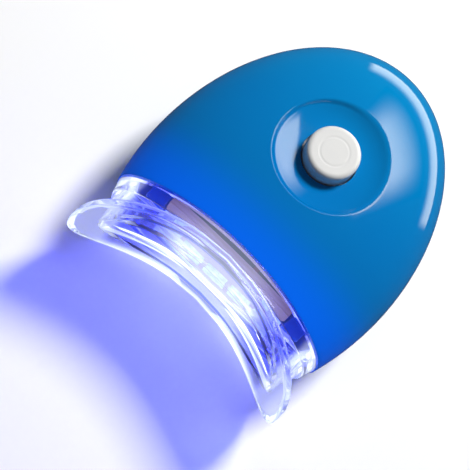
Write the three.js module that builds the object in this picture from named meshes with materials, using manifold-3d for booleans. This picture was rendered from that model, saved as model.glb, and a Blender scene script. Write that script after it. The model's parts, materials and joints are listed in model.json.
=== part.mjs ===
// A battery-powered teeth whitening lamp, held between the lips by its clear mouth shield.
// Millimetres. +X is across the lamp, +Y runs from the mouth shield to the rounded rear, +Z is up.
// The origin lies on the surface that the lamp stands on, below the middle of its box.
import * as THREE from "three";
import { mergeVertices } from "three/addons/utils/BufferGeometryUtils.js";
import Module from "manifold-3d";

const wasm = await Module();
wasm.setup();

// Driving sizes of the egg-shaped housing. Heights are measured from the seam between its shells.
const bodyHalfWidth = 24.4;
const bodyHalfLength = 35.5;
const topHeight = 12.6;
const bottomHeight = 14.6;
const seamHeight = 12.7;
const topRoundness = 2.1;
const bottomRoundness = 2.4;
const shellWall = 1.6;
const widestToMouth = 11.2;
const mouthRadius = 107;
const seamGap = 0.1;
const lipHeight = 1.2;
const lipWall = 0.65;
const fitGap = 0.15;

// General clearances.
const partGap = 0.3;
const solderGap = 0.05;
const overrun = 2;

// The clear mouth shield: collar, neck, curved shield and the pocket for a mouth tray's tab.
const collarDepth = 2.6;
const collarInset = 0.2;
const plugLength = 2.4;
const neckSideInset = 1.4;
const neckTopInset = 2;
const neckShieldMargin = 3.1;
const neckRoundness = 2.6;
const clearWall = 1.4;
const shieldHalfWidth = 23.4;
const shieldHalfHeight = 12.4;
const shieldRoundness = 5.1;
const shieldEndRoundness = 2.4;
const shieldRadius = 35;
const shieldThickness = 1.5;
const shieldSetback = 2.7;
const pocketSideMargin = 1.2;
const pocketHalfHeight = 3.7;
const pocketRoundness = 7;
const pocketFloorY = -3.7;
const pocketWall = 0.9;
const pegRadius = 1.1;
const pegBore = 0.45;
const pegLength = 3;
const pegMargin = 1.6;

// The lamp board and its light-emitting diodes.
const lampBoardThickness = 1.2;
const lampBoardHalfWidth = 12.9;
const lampBoardFrontY = -1.5;
const lampBoardBottom = 6;
const lampCount = 5;
const lampPitch = 5.4;
const lampSide = 4.4;
const lampDepth = 0.9;
const lampLensRadius = 1.7;
const lampLensDepth = 0.2;

// The main board, its switch and its small components.
const boardHalfWidth = 12.5;
const boardLength = 30;
const boardThickness = 1;
const boardBottom = 0.2;
const switchSide = 5.8;
const switchHeight = 3.4;
const switchFloor = 0.3;
const plungerSide = 2.6;
const plungerGap = 0.2;
const plungerTop = 7.6;
const resistorLength = 3.2;
const resistorWidth = 1.6;
const resistorHeight = 0.6;
const chipLength = 5;
const chipWidth = 4;
const chipHeight = 1.5;
const chipSetback = 10;
const resistorX = 7;
const resistorSetback = 12;

// The press button and the dish that it stands in.
const buttonY = 22;
const buttonRadius = 4.6;
const buttonTop = 13.3;
const buttonEdge = 0.7;
const buttonTravel = 1.2;
const buttonWall = 1;
const buttonCrown = 1.8;
const buttonStemRadius = 1.9;
const buttonRimRadius = 5.8;
const buttonRimHeight = 1;
const dishFloorHeight = 9.6;
const dishSeatRim = 1.4;
const dishWall = 1.3;
const dishSlopeShare = 0.098;
const dishRadius = 9.8;
const dishDepth = 1.48;
// The dish in section: radius and rise as shares of its radius and depth. The last points run
// clear of the egg's top.
const dishShares = [[0.51, 0], [0.64, 0.054], [0.76, 0.227], [0.88, 0.539], [1, 1], [1.1, 1.45], [1.25, 2.12]];

// Coin cells, their bay and the twist-off cover below them.
const cellY = 16.2;
const cellRadius = 10;
const cellHeight = 3.2;
const cellCapRadius = 8.8;
const cellCapHeight = 0.5;
const bayGap = 0.4;
const bayWall = 1.2;
const bayHeight = 6.5;
const floorBossRadius = 15;
const floorBossHeight = 2.5;
const coverRadius = 12.2;
const coverRecess = 0.2;
const coverThickness = 1.1;
const coverLugReach = 0.9;
const coverLugHeight = 0.6;
const coverLugAngle = 24;
const coverTwist = 40;
const lugSlack = 2;
const coinSlotLength = 14;
const coinSlotWidth = 1.7;
const coinSlotDepth = 0.6;

// Screws.
const shellScrewSideMargin = 6.4;
const shellScrewSideY = 10;
const shellScrewRearMargin = 5.8;
const boardScrewSideMargin = 3.1;
const boardScrewRearMargin = 3.4;
const screwShankRadius = 1;
const screwHeadRadius = 2;
const screwCrownShare = 0.75;
const screwHeadHeight = 1.2;
const screwSlotDepth = 0.5;
const screwSlotWidth = 0.5;
const shellScrewLength = 9.5;
const shellScrewSeat = 6;
const boardScrewLength = 4.5;
const bossRadius = 2.3;
const postRadius = 3.4;
const boardBossRadius = 1.9;

// Clip arms that reach from the upper shell into the clear collar, beside the lamp board.
const armInnerX = 13.3;
const armWidth = 3.4;
const armBottom = 2.4;
const armHeight = 2.4;
const armReach = 2.5;
const armRootDepth = 2;

// Contacts and wires.
const contactThickness = 0.3;
const contactWidth = 4;
const contactFoot = 2.5;
const wireRadius = 0.55;
const wireRise = 2.2;
const wireReach = 5;
const wirePitch = 8;

const arcSteps = 64;
const innerArcSteps = 40;
const dishArcSteps = 40;
const holeArcSteps = 24;
const profileSteps = 10;

const colours = {
  housing: 0x0a78c2,
  clear: 0xdfe6ff,
  button: 0xf4f3f1,
  board: 0x1d6b45,
  lampBoard: 0xa79aa4,
  lamp: 0xe8f6ff,
  steel: 0xc9ccd1,
  dark: 0x24262a,
  gold: 0xc8a65a,
  red: 0xc2252a,
  black: 0x1b1b1d,
};

// Sizes that follow from the egg where the mouth cuts it, and places that follow from the egg.
const mouthShare = widestToMouth / bodyHalfLength;
const mouthHalfWidth = bodyHalfWidth * Math.sqrt(1 - mouthShare ** 2);
const mouthTop = topHeight * (1 - mouthShare ** topRoundness) ** (1 / topRoundness);
const neckHalfWidth = mouthHalfWidth - neckSideInset;
const neckHalfHeight = mouthTop - neckTopInset;
const neckFrontHalfWidth = shieldHalfWidth - neckShieldMargin;
const neckFrontDepth = shieldSetback + arcDrop(shieldRadius, neckFrontHalfWidth);
const neckTaperShare = (neckHalfWidth - neckFrontHalfWidth) / neckFrontDepth;
const pocketHalfWidth = neckFrontHalfWidth - pocketSideMargin;
const pegOffset = pocketHalfWidth - pegMargin;
const shellScrewSideX = bodyHalfWidth - shellScrewSideMargin;
const shellScrewPlaces = [
  [shellScrewSideX, shellScrewSideY],
  [-shellScrewSideX, shellScrewSideY],
  [0, widestToMouth + bodyHalfLength - shellScrewRearMargin],
];
const boardFrontY = lampBoardFrontY + lampBoardThickness + partGap;
const boardRearY = boardFrontY + boardLength;
const boardScrewX = boardHalfWidth - boardScrewSideMargin;
const boardScrewY = boardRearY - boardScrewRearMargin;
const boardScrewPlaces = [
  [boardScrewX, boardScrewY],
  [-boardScrewX, boardScrewY],
];

const part = new THREE.Group();
const middleY = (bodyHalfLength + widestToMouth - shieldReach()) / 2;
part.position.set(0, -middleY, seamHeight);

// How far an arc falls away from its middle, at a distance to the side.
function arcDrop(radius, aside) {
  return radius - Math.sqrt(radius ** 2 - aside ** 2);
}

// How far the shield's tips lie in front of the housing's front edge.
function shieldReach() {
  const tipDrop = arcDrop(shieldRadius - shieldThickness, shieldHalfWidth);
  return shieldSetback + shieldThickness + tipDrop;
}

// A closed geometry as a solid that can be joined and cut.
function solid(geometry) {
  const bare = geometry.index ? geometry.toNonIndexed() : geometry.clone();
  for (const name of Object.keys(bare.attributes)) {
    if (name !== "position") bare.deleteAttribute(name);
  }
  const merged = mergeVertices(bare, 1e-4);
  const kept = [];
  const index = merged.index.array;
  for (let i = 0; i < index.length; i += 3) {
    const [a, b, c] = [index[i], index[i + 1], index[i + 2]];
    if (a !== b && b !== c && c !== a) kept.push(a, b, c);
  }
  const vertProperties = new Float32Array(merged.attributes.position.array);
  const facing = new wasm.Manifold(
    new wasm.Mesh({ numProp: 3, vertProperties, triVerts: new Uint32Array(kept) }),
  );
  if (facing.volume() >= 0) return facing;
  for (let i = 0; i < kept.length; i += 3) {
    [kept[i + 1], kept[i + 2]] = [kept[i + 2], kept[i + 1]];
  }
  return new wasm.Manifold(
    new wasm.Mesh({ numProp: 3, vertProperties, triVerts: new Uint32Array(kept) }),
  );
}

// Turns a shape that was made about the vertical screen axis so that its axis points up.
function stand(geometry) {
  return geometry.applyMatrix4(new THREE.Matrix4().makeBasis(
    new THREE.Vector3(1, 0, 0), new THREE.Vector3(0, 0, 1), new THREE.Vector3(0, -1, 0),
  ));
}

// Adds a solid to the part as a named mesh.
function addPiece(name, shape, colour, roughness = 0.4, metalness = 0) {
  const { vertProperties, triVerts } = shape.getMesh();
  const geometry = new THREE.BufferGeometry()
    .setAttribute("position", new THREE.BufferAttribute(vertProperties, 3))
    .setIndex(new THREE.BufferAttribute(triVerts, 1));
  geometry.computeVertexNormals();
  const material = new THREE.MeshStandardMaterial({ color: colour, roughness, metalness });
  const mesh = new THREE.Mesh(geometry, material);
  mesh.name = name;
  part.add(mesh);
}

function box(x0, x1, y0, y1, z0, z1) {
  const geometry = new THREE.BoxGeometry(x1 - x0, y1 - y0, z1 - z0);
  geometry.translate((x0 + x1) / 2, (y0 + y1) / 2, (z0 + z1) / 2);
  return solid(geometry);
}

// A closed profile of [radius, height] points turned about a vertical axis through (x, y).
function turned(profile, x = 0, y = 0, steps = holeArcSteps) {
  const points = profile.map(([r, z]) => new THREE.Vector2(r, z));
  const geometry = stand(new THREE.LatheGeometry(points, steps));
  geometry.translate(x, y, 0);
  return solid(geometry);
}

function post(x, y, radius, z0, z1, steps = holeArcSteps) {
  return turned([[0, z0], [radius, z0], [radius, z1], [0, z1]], x, y, steps);
}

function ring(x, y, inner, outer, z0, z1, steps = holeArcSteps) {
  const wall = [[inner, z0], [outer, z0], [outer, z1], [inner, z1], [inner, z0]];
  return turned(wall, x, y, steps);
}

// A flat outline of [across, up] points made into a prism along Y.
function prismAlongY(outline, y0, y1) {
  const shape = new THREE.Shape(outline.map(([a, b]) => new THREE.Vector2(a, b)));
  const geometry = stand(new THREE.ExtrudeGeometry(shape, { depth: y1 - y0, bevelEnabled: false }));
  geometry.translate(0, y1, 0);
  return solid(geometry);
}

// The same prism with its sides drawn in towards the front by a share of the way from y = 0.
function neckPrism(inset, y0, y1) {
  const side = neckHalfWidth - inset;
  const outline = roundedOutline(1, neckHalfHeight - inset, neckRoundness, innerArcSteps);
  const shape = new THREE.Shape(outline.map(([a, b]) => new THREE.Vector2(a, b)));
  const geometry = stand(new THREE.ExtrudeGeometry(shape, { depth: y1 - y0, bevelEnabled: false }));
  geometry.translate(0, y1, 0);
  const place = geometry.attributes.position;
  for (let i = 0; i < place.count; i += 1) {
    place.setX(i, place.getX(i) * (side + neckTaperShare * place.getY(i)));
  }
  return solid(geometry);
}

// A power that keeps the sign. Rounding noise counts as zero, so that points on an axis stay there.
function signedPower(value, power) {
  return Math.abs(value) < 1e-12 ? 0 : Math.sign(value) * Math.abs(value) ** power;
}

// A rounded outline: a circle at roundness 2, and closer to a rectangle as it grows. With a lower
// roundness for its ends, its long sides stay straight while its ends turn round.
function roundedOutline(halfWidth, halfHeight, roundness, steps = arcSteps, endRoundness = roundness) {
  const points = [];
  for (let i = 0; i < steps; i += 1) {
    const turn = (2 * Math.PI * i) / steps;
    const across = signedPower(Math.cos(turn), 2 / roundness);
    const up = signedPower(Math.sin(turn), 2 / endRoundness);
    points.push([halfWidth * across, halfHeight * up]);
  }
  return points;
}

// Half of the egg, above the seam (side 1) or below it (side -1), drawn in by an inset.
function eggHalf(side, inset, steps) {
  const height = (side > 0 ? topHeight : bottomHeight) - inset;
  const roundness = side > 0 ? topRoundness : bottomRoundness;
  const points = [[0, 0]];
  for (let i = 0; i <= profileSteps; i += 1) {
    const rise = (Math.PI * i) / (2 * profileSteps);
    const radius = i === profileSteps ? 0 : Math.cos(rise) ** (2 / roundness);
    points.push([radius, side * Math.sin(rise) ** (2 / roundness)]);
  }
  const geometry = new THREE.LatheGeometry(
    points.map(([r, z]) => new THREE.Vector2(r, z)),
    steps,
  );
  stand(geometry);
  geometry.scale(bodyHalfWidth - inset, bodyHalfLength - inset, height);
  geometry.translate(0, widestToMouth, 0);
  return solid(geometry);
}

// The space between two arcs, seen from above, that both bow towards the rear. It is cut from
// tall plates, so that it splits the housing and the clear moulding along the mouth's curve.
function arcBand(radius, yFront, yRear, halfWidth, z0, z1, rearRadius = radius) {
  const shape = new THREE.Shape();
  const steps = 28;
  const arc = (r, y, i) => {
    const x = halfWidth * (1 - (2 * i) / steps);
    return new THREE.Vector2(x, y - arcDrop(r, x));
  };
  const points = [];
  for (let i = 0; i <= steps; i += 1) points.push(arc(rearRadius, yRear, i));
  for (let i = steps; i >= 0; i -= 1) points.push(arc(radius, yFront, i));
  shape.setFromPoints(points);
  const geometry = new THREE.ExtrudeGeometry(shape, { depth: z1 - z0, bevelEnabled: false });
  geometry.translate(0, 0, z0);
  return solid(geometry);
}

const wideX = bodyHalfWidth + overrun;
const tallZ = Math.max(topHeight, bottomHeight) + overrun;
const rearY = widestToMouth + bodyHalfLength;

// Everything behind the housing's front edge, or behind a line that lies offset from it.
function behindMouth(offset) {
  return arcBand(mouthRadius, offset, rearY + mouthRadius, wideX, -tallZ, tallZ);
}

const baseSlab = (z) => box(-wideX, wideX, -bodyHalfLength, rearY + overrun, -tallZ, z);

// The dish for the button. Its floor leans to the rear with the egg's top.
function leaning(profile) {
  const points = profile.map(([r, z]) => new THREE.Vector2(r, z));
  const geometry = stand(new THREE.LatheGeometry(points, dishArcSteps));
  geometry.rotateX(-Math.atan(dishSlopeShare));
  geometry.translate(0, buttonY, dishFloorHeight);
  return solid(geometry);
}

function dishCut() {
  const bowl = dishShares.map(([out, up]) => [out * dishRadius, up * dishDepth]);
  const outer = bowl[bowl.length - 1][0];
  return leaning([[0, 0], ...bowl, [outer, topHeight], [0, topHeight]]);
}

function dishSeat() {
  const radius = dishRadius + dishSeatRim;
  return leaning([[0, -dishWall], [radius, -dishWall], [radius, topHeight], [0, topHeight]]);
}

const dishUnderside = dishFloorHeight - dishWall - dishSlopeShare * buttonRimRadius;
const buttonHole = buttonRadius + partGap;
const bossFoot = seamGap + partGap;
const boardTop = boardBottom + boardThickness;
const coverTop = -seamHeight + coverRecess + coverThickness;
const floorTop = -seamHeight + floorBossHeight;
const bayRadius = cellRadius + bayGap;
const plugRearY = plugLength;

function topShell() {
  const outer = eggHalf(1, 0, arcSteps);
  const inner = eggHalf(1, shellWall, innerArcSteps);
  let shell = outer.subtract(inner);
  const rebate = eggHalf(1, shellWall - lipWall - fitGap, innerArcSteps);
  const rebateTop = lipHeight + partGap;
  shell = shell.subtract(rebate.intersect(box(-wideX, wideX, plugRearY, rearY, 0, rebateTop)));
  let inside = dishSeat();
  for (const [x, y] of shellScrewPlaces) {
    inside = inside.add(post(x, y, bossRadius, bossFoot, topHeight));
  }
  for (const [x, y] of boardScrewPlaces) {
    inside = inside.add(post(x, y, boardBossRadius, boardTop + solderGap, topHeight));
  }
  inside = inside.add(clipArm(1)).add(clipArm(-1));
  const fill = eggHalf(1, shellWall / 2, arcSteps);
  const arms = clipArm(1).add(clipArm(-1)).intersect(fill);
  shell = shell.add(inside.intersect(fill));
  shell = shell.intersect(behindMouth(0)).add(arms);
  shell = shell.subtract(dishCut()).subtract(post(0, buttonY, buttonHole, 0, tallZ, dishArcSteps));
  for (const [x, y] of shellScrewPlaces) {
    const tip = -shellScrewSeat + shellScrewLength + partGap;
    shell = shell.subtract(post(x, y, screwShankRadius + fitGap, 0, tip));
  }
  for (const [x, y] of boardScrewPlaces) {
    const tip = boardBottom + boardScrewLength + partGap;
    shell = shell.subtract(post(x, y, screwShankRadius + fitGap, 0, tip));
  }
  return shell.intersect(box(-wideX, wideX, -rearY, rearY + overrun, seamGap / 2, tallZ));
}

// An arm that hangs from the upper shell's roof and reaches forward into the clear collar.
function clipArm(side) {
  const x0 = side > 0 ? armInnerX : -armInnerX - armWidth;
  const x1 = x0 + armWidth;
  const rootY = plugRearY + partGap;
  const bar = box(x0, x1, -armReach, rootY + armRootDepth, armBottom, armBottom + armHeight);
  const root = box(x0, x1, rootY, rootY + armRootDepth, armBottom, topHeight);
  return bar.add(root);
}

// A sector of a ring between two angles in degrees, used for the cover's lugs and their notches.
function sector(x, y, inner, outer, middleAngle, spanAngle, z0, z1) {
  const shape = new THREE.Shape();
  const start = THREE.MathUtils.degToRad(middleAngle - spanAngle / 2);
  const end = THREE.MathUtils.degToRad(middleAngle + spanAngle / 2);
  shape.absarc(0, 0, outer, start, end, false);
  shape.absarc(0, 0, inner, end, start, true);
  shape.closePath();
  const settings = { depth: z1 - z0, bevelEnabled: false, curveSegments: 6 };
  const geometry = new THREE.ExtrudeGeometry(shape, settings);
  geometry.translate(x, y, z0);
  return solid(geometry);
}

const lugTop = coverTop;
const lugBottom = coverTop - coverLugHeight;
const lugGrooveRadius = coverRadius + coverLugReach + partGap;
const lugGap = 0.1;
const contactNotchHalf = contactWidth / 2 + partGap;
const lugMiddles = [0, 180];

function bottomShell() {
  const outer = eggHalf(-1, 0, arcSteps);
  const inner = eggHalf(-1, shellWall, innerArcSteps);
  const behindPlug = box(-wideX, wideX, plugRearY + partGap, rearY, -tallZ, tallZ);
  let inside = post(0, cellY, floorBossRadius, -tallZ, floorTop, dishArcSteps).intersect(behindPlug);
  const bayTop = floorTop + bayHeight;
  const bayOuter = bayRadius + bayWall;
  inside = inside.add(ring(0, cellY, bayRadius, bayOuter, floorTop - overrun, bayTop, dishArcSteps));
  for (const [x, y] of shellScrewPlaces) {
    inside = inside.add(post(x, y, postRadius, -tallZ, -seamGap));
  }
  inside = inside.add(baseSlab(-seamHeight + shellWall));
  const fill = eggHalf(-1, shellWall / 2, arcSteps);
  let shell = outer.subtract(inner).add(inside.intersect(fill));
  const lipOuter = eggHalf(1, shellWall - lipWall, innerArcSteps);
  const lipInner = eggHalf(1, shellWall + fitGap, innerArcSteps);
  const lipSpan = box(-wideX, wideX, plugRearY + partGap, rearY, 0, lipHeight);
  const lipFoot = eggHalf(-1, shellWall - lipWall, innerArcSteps)
    .subtract(eggHalf(-1, shellWall + fitGap, innerArcSteps))
    .intersect(box(-wideX, wideX, plugRearY + partGap, rearY, -lipHeight, 0));
  const lip = lipOuter.subtract(lipInner).intersect(lipSpan);
  shell = shell.intersect(box(-wideX, wideX, -rearY, rearY + overrun, -tallZ, -seamGap / 2));
  shell = shell.add(lip).add(lipFoot).intersect(behindMouth(0));
  shell = shell.subtract(baseSlab(-seamHeight));
  shell = shell.subtract(post(0, cellY, bayRadius, -tallZ, bayTop, dishArcSteps));
  const recessRoof = coverTop + lugGap;
  shell = shell.subtract(post(0, cellY, coverRadius + fitGap, -tallZ, recessRoof, dishArcSteps));
  for (const middle of lugMiddles) {
    const span = coverLugAngle + 2 * lugSlack;
    const reach = [coverRadius - overrun, lugGrooveRadius];
    const groove = [middle + coverTwist / 2, span + coverTwist];
    shell = shell.subtract(sector(0, cellY, ...reach, ...groove, lugBottom - lugGap, recessRoof));
    const notch = [middle + coverTwist, span];
    shell = shell.subtract(sector(0, cellY, ...reach, ...notch, -tallZ, recessRoof));
  }
  const notchFront = cellY - bayOuter - overrun;
  shell = shell.subtract(
    box(-contactNotchHalf, contactNotchHalf, notchFront, cellY, floorTop, 0),
  );
  for (const [x, y] of shellScrewPlaces) {
    shell = shell.subtract(post(x, y, screwShankRadius + fitGap, -tallZ, 0));
    shell = shell.subtract(post(x, y, screwHeadRadius + partGap, -tallZ, -shellScrewSeat));
  }
  return shell;
}

// The clear moulding, from the plug inside the housing to the shield's tips.
const pocketRearY = pocketFloorY + pocketWall;

const shieldSpan = shieldHalfWidth + partGap;

// What lies behind a line that follows the shield's rear face, up to a line along the mouth.
function behindShield(forward, yRear, rearRadius) {
  const front = -shieldSetback - forward;
  return arcBand(shieldRadius, front, yRear, shieldSpan, -tallZ, tallZ, rearRadius);
}

function shieldBand() {
  const front = -shieldSetback - shieldThickness;
  const inner = shieldRadius - shieldThickness;
  return arcBand(inner, front, -shieldSetback, shieldSpan, -tallZ, tallZ, shieldRadius);
}

function clearShield() {
  const frontY = -shieldReach() - overrun;
  const outline = roundedOutline(
    shieldHalfWidth, shieldHalfHeight, shieldRoundness, arcSteps, shieldEndRoundness,
  );
  const plate = shieldBand().intersect(prismAlongY(outline, frontY, 0));
  const egg = (inset) => eggHalf(1, inset, arcSteps).add(eggHalf(-1, inset, arcSteps));
  const collarRear = -partGap;
  const collarBand = arcBand(mouthRadius, -collarDepth - partGap, collarRear, wideX, -tallZ, tallZ);
  const collar = egg(collarInset).intersect(collarBand);
  const plugBand = arcBand(mouthRadius, -collarDepth, plugRearY, wideX, -tallZ, tallZ, mouthRadius)
    .intersect(box(-wideX, wideX, -bodyHalfLength, plugRearY, -tallZ, tallZ));
  const plug = egg(shellWall + partGap).intersect(plugBand)
    .subtract(baseSlab(-seamHeight + shellWall + partGap));
  const farRear = rearY + shieldRadius;
  const core = shieldThickness / 2;
  const neck = neckPrism(0, frontY, plugRearY)
    .intersect(behindShield(core, -collarDepth / 2, mouthRadius));
  const hollow = neckPrism(clearWall, frontY, plugRearY + overrun)
    .intersect(behindShield(0, farRear, shieldRadius));
  const pocketOutline = (grow) =>
    roundedOutline(pocketHalfWidth + grow, pocketHalfHeight + grow, pocketRoundness, holeArcSteps * 2);
  const pocketRoom = neckPrism(0, frontY, plugRearY)
    .intersect(behindShield(core, farRear, shieldRadius));
  const pocketBlock = prismAlongY(pocketOutline(pocketWall), frontY, pocketRearY)
    .intersect(pocketRoom);
  const pocketVoid = prismAlongY(pocketOutline(0), frontY, pocketFloorY);
  let moulding = plate.add(collar).add(plug).add(neck);
  moulding = moulding.subtract(hollow).add(pocketBlock).subtract(pocketVoid);
  for (const side of [1, -1]) {
    moulding = moulding.add(trayPeg(side * pegOffset));
  }
  moulding = moulding.subtract(baseSlab(-seamHeight + collarInset));
  return moulding;
}

// A short hollow peg on the pocket's floor that holds a mouth tray's tab.
function trayPeg(x) {
  const points = [
    [pegBore, 0], [pegRadius, 0], [pegRadius, pegLength], [pegBore, pegLength], [pegBore, 0],
  ].map(([r, z]) => new THREE.Vector2(r, z));
  const geometry = new THREE.LatheGeometry(points, 16);
  geometry.rotateX(Math.PI);
  geometry.translate(x, pocketFloorY + pocketWall / 2, 0);
  return solid(geometry);
}

// The lamp board stands across the collar; its upper edge follows the clear roof.
function lampBoard() {
  const roofHalfWidth = neckHalfWidth - clearWall;
  const roofHeight = neckHalfHeight - clearWall;
  const shape = new THREE.Shape();
  const steps = 12;
  const points = [];
  for (let i = 0; i <= steps; i += 1) {
    const x = lampBoardHalfWidth * (1 - (2 * i) / steps);
    const roof = roofHeight * (1 - (Math.abs(x) / roofHalfWidth) ** neckRoundness) ** (1 / neckRoundness);
    points.push([x, roof - partGap * 2]);
  }
  points.push([-lampBoardHalfWidth, -lampBoardBottom]);
  points.push([lampBoardHalfWidth, -lampBoardBottom]);
  return prismAlongY(points, lampBoardFrontY, lampBoardFrontY + lampBoardThickness);
}

function lamp(x) {
  const rear = lampBoardFrontY - solderGap;
  const half = lampSide / 2;
  const body = box(x - half, x + half, rear - lampDepth + lampLensDepth, rear, -half, half);
  const lens = new THREE.CylinderGeometry(lampLensRadius, lampLensRadius, lampDepth / 2, 20);
  lens.translate(x, rear - lampDepth + lampDepth / 4, 0);
  return body.add(solid(lens));
}

function mainBoard() {
  let board = box(-boardHalfWidth, boardHalfWidth, boardFrontY, boardRearY, boardBottom, boardTop);
  for (const [x, y] of boardScrewPlaces) {
    board = board.subtract(post(x, y, screwShankRadius + fitGap, -tallZ, tallZ));
  }
  return board;
}

const switchBottom = boardTop + solderGap;
const switchTop = switchBottom + switchHeight;
const plungerHole = plungerSide / 2 + plungerGap;
const plungerBottom = switchBottom + switchFloor + buttonTravel + plungerGap;

function switchBody() {
  const half = switchSide / 2;
  const body = box(-half, half, buttonY - half, buttonY + half, switchBottom, switchTop);
  const well = box(
    -plungerHole, plungerHole, buttonY - plungerHole, buttonY + plungerHole,
    switchBottom + switchFloor, switchTop + overrun,
  );
  return body.subtract(well);
}

function switchPlunger() {
  const half = plungerSide / 2;
  return box(-half, half, buttonY - half, buttonY + half, plungerBottom, plungerTop);
}

function powerButton() {
  const rimTop = dishUnderside - partGap;
  const rimBottom = rimTop - buttonRimHeight;
  const profile = [[0, plungerTop + solderGap], [buttonStemRadius, plungerTop + solderGap]];
  const ceiling = buttonTop - buttonCrown;
  profile.push([buttonStemRadius, ceiling], [buttonRadius - buttonWall, ceiling]);
  profile.push([buttonRadius - buttonWall, rimBottom], [buttonRimRadius, rimBottom]);
  profile.push([buttonRimRadius, rimTop], [buttonRadius, rimTop]);
  const steps = 4;
  for (let i = 0; i <= steps; i += 1) {
    const turn = (Math.PI * i) / (2 * steps);
    profile.push([
      buttonRadius - buttonEdge * (1 - Math.cos(turn)),
      buttonTop - buttonEdge * (1 - Math.sin(turn)),
    ]);
  }
  profile.push([0, buttonTop]);
  return turned(profile, 0, buttonY, dishArcSteps);
}

const lowerCellBottom = coverTop + partGap;

function coinCell(bottom) {
  const capTop = bottom + cellHeight;
  const canTop = capTop - cellCapHeight;
  const profile = [[0, bottom], [cellRadius, bottom], [cellRadius, canTop]];
  profile.push([cellCapRadius, canTop], [cellCapRadius, capTop], [0, capTop]);
  return turned(profile, 0, cellY, dishArcSteps);
}

const upperCellBottom = lowerCellBottom + cellHeight + solderGap;
const stackTop = upperCellBottom + cellHeight;

// A leaf of sheet metal: a bent strip of [y, z] points on its upper face, with a thickness.
function bentLeaf(path, halfWidth, x = 0) {
  const upper = path.map(([y, z]) => new THREE.Vector2(y, z));
  const lower = upper.map((p, i) => {
    const before = upper[Math.max(i - 1, 0)];
    const after = upper[Math.min(i + 1, upper.length - 1)];
    const along = after.clone().sub(before).normalize();
    return new THREE.Vector2(p.x - along.y * contactThickness, p.y + along.x * contactThickness);
  });
  const shape = new THREE.Shape([...upper, ...lower.reverse()]);
  const geometry = new THREE.ExtrudeGeometry(shape, { depth: 2 * halfWidth, bevelEnabled: false });
  geometry.applyMatrix4(new THREE.Matrix4().makeBasis(
    new THREE.Vector3(0, 1, 0), new THREE.Vector3(0, 0, 1), new THREE.Vector3(1, 0, 0),
  ));
  geometry.translate(x - halfWidth, 0, 0);
  return solid(geometry);
}

// The leaf below the main board that presses on the upper cell.
function cellLeaf() {
  const roof = boardBottom - solderGap;
  const touch = stackTop + contactThickness + solderGap;
  const reach = cellCapRadius;
  return bentLeaf(
    [
      [cellY + reach, roof],
      [cellY + reach / 2, roof],
      [cellY - reach / 4, touch + contactThickness],
      [cellY - reach / 2, touch],
      [cellY - reach * 3 / 4, touch + contactThickness],
    ],
    contactWidth / 2,
  );
}

// The upright strip that touches the lower cell's can, in the notch in front of the bay.
function cellStrip() {
  const canY = cellY - cellRadius - fitGap;
  const roof = boardBottom - solderGap;
  const half = contactWidth / 2;
  const upright = box(-half, half, canY - contactThickness, canY, floorTop + partGap, roof);
  const foot = box(-half, half, canY - contactFoot, canY, roof - contactThickness, roof);
  return upright.add(foot);
}

function batteryCover() {
  const bottom = -seamHeight + coverRecess;
  let cover = post(0, cellY, coverRadius, bottom, coverTop, dishArcSteps);
  for (const middle of lugMiddles) {
    cover = cover.add(sector(
      0, cellY, coverRadius - overrun, coverRadius + coverLugReach,
      middle, coverLugAngle, lugBottom, lugTop,
    ));
  }
  const half = coinSlotWidth / 2;
  return cover.subtract(box(
    -coinSlotLength / 2, coinSlotLength / 2, cellY - half, cellY + half,
    -tallZ, bottom + coinSlotDepth,
  ));
}

// A pan-head screw that points up, with its head's upper face at the seat.
function screw(x, y, seat, length) {
  const bottom = seat - screwHeadHeight;
  const profile = [[0, bottom], [screwHeadRadius * screwCrownShare, bottom]];
  profile.push([screwHeadRadius, bottom + screwHeadHeight / 2]);
  profile.push([screwHeadRadius, seat], [screwShankRadius, seat]);
  profile.push([screwShankRadius, seat + length - screwShankRadius], [0, seat + length]);
  const half = screwSlotWidth / 2;
  const reach = screwShankRadius;
  const floor = bottom + screwSlotDepth;
  return turned(profile, x, y, holeArcSteps)
    .subtract(box(x - reach, x + reach, y - half, y + half, bottom - overrun, floor))
    .subtract(box(x - half, x + half, y - reach, y + reach, bottom - overrun, floor));
}

// A wire from the main board's top up and over to the lamp board's rear face.
function wire(x) {
  const start = boardTop + solderGap;
  const rearFace = lampBoardFrontY + lampBoardThickness + solderGap;
  const curve = new THREE.CatmullRomCurve3([
    new THREE.Vector3(x, boardFrontY + wireReach, start),
    new THREE.Vector3(x, boardFrontY + wireReach, start + wireRise / 2),
    new THREE.Vector3(x, boardFrontY + wireReach / 2, start + wireRise),
    new THREE.Vector3(x, rearFace + wireRadius, start + wireRise / 2 + wireRadius),
    new THREE.Vector3(x, rearFace, start + wireRise / 2 + wireRadius),
  ]);
  const section = new THREE.Shape(
    roundedOutline(wireRadius, wireRadius, 2, 8).map(([a, b]) => new THREE.Vector2(a, b)),
  );
  return solid(new THREE.ExtrudeGeometry(section, { steps: 14, extrudePath: curve, bevelEnabled: false }));
}

// A small component on the main board, at a distance from the board's front edge.
function onBoard(x, setback, length, width, height) {
  const y = boardFrontY + setback;
  const z0 = boardTop + solderGap;
  return box(x - width / 2, x + width / 2, y - length / 2, y + length / 2, z0, z0 + height);
}

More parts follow.
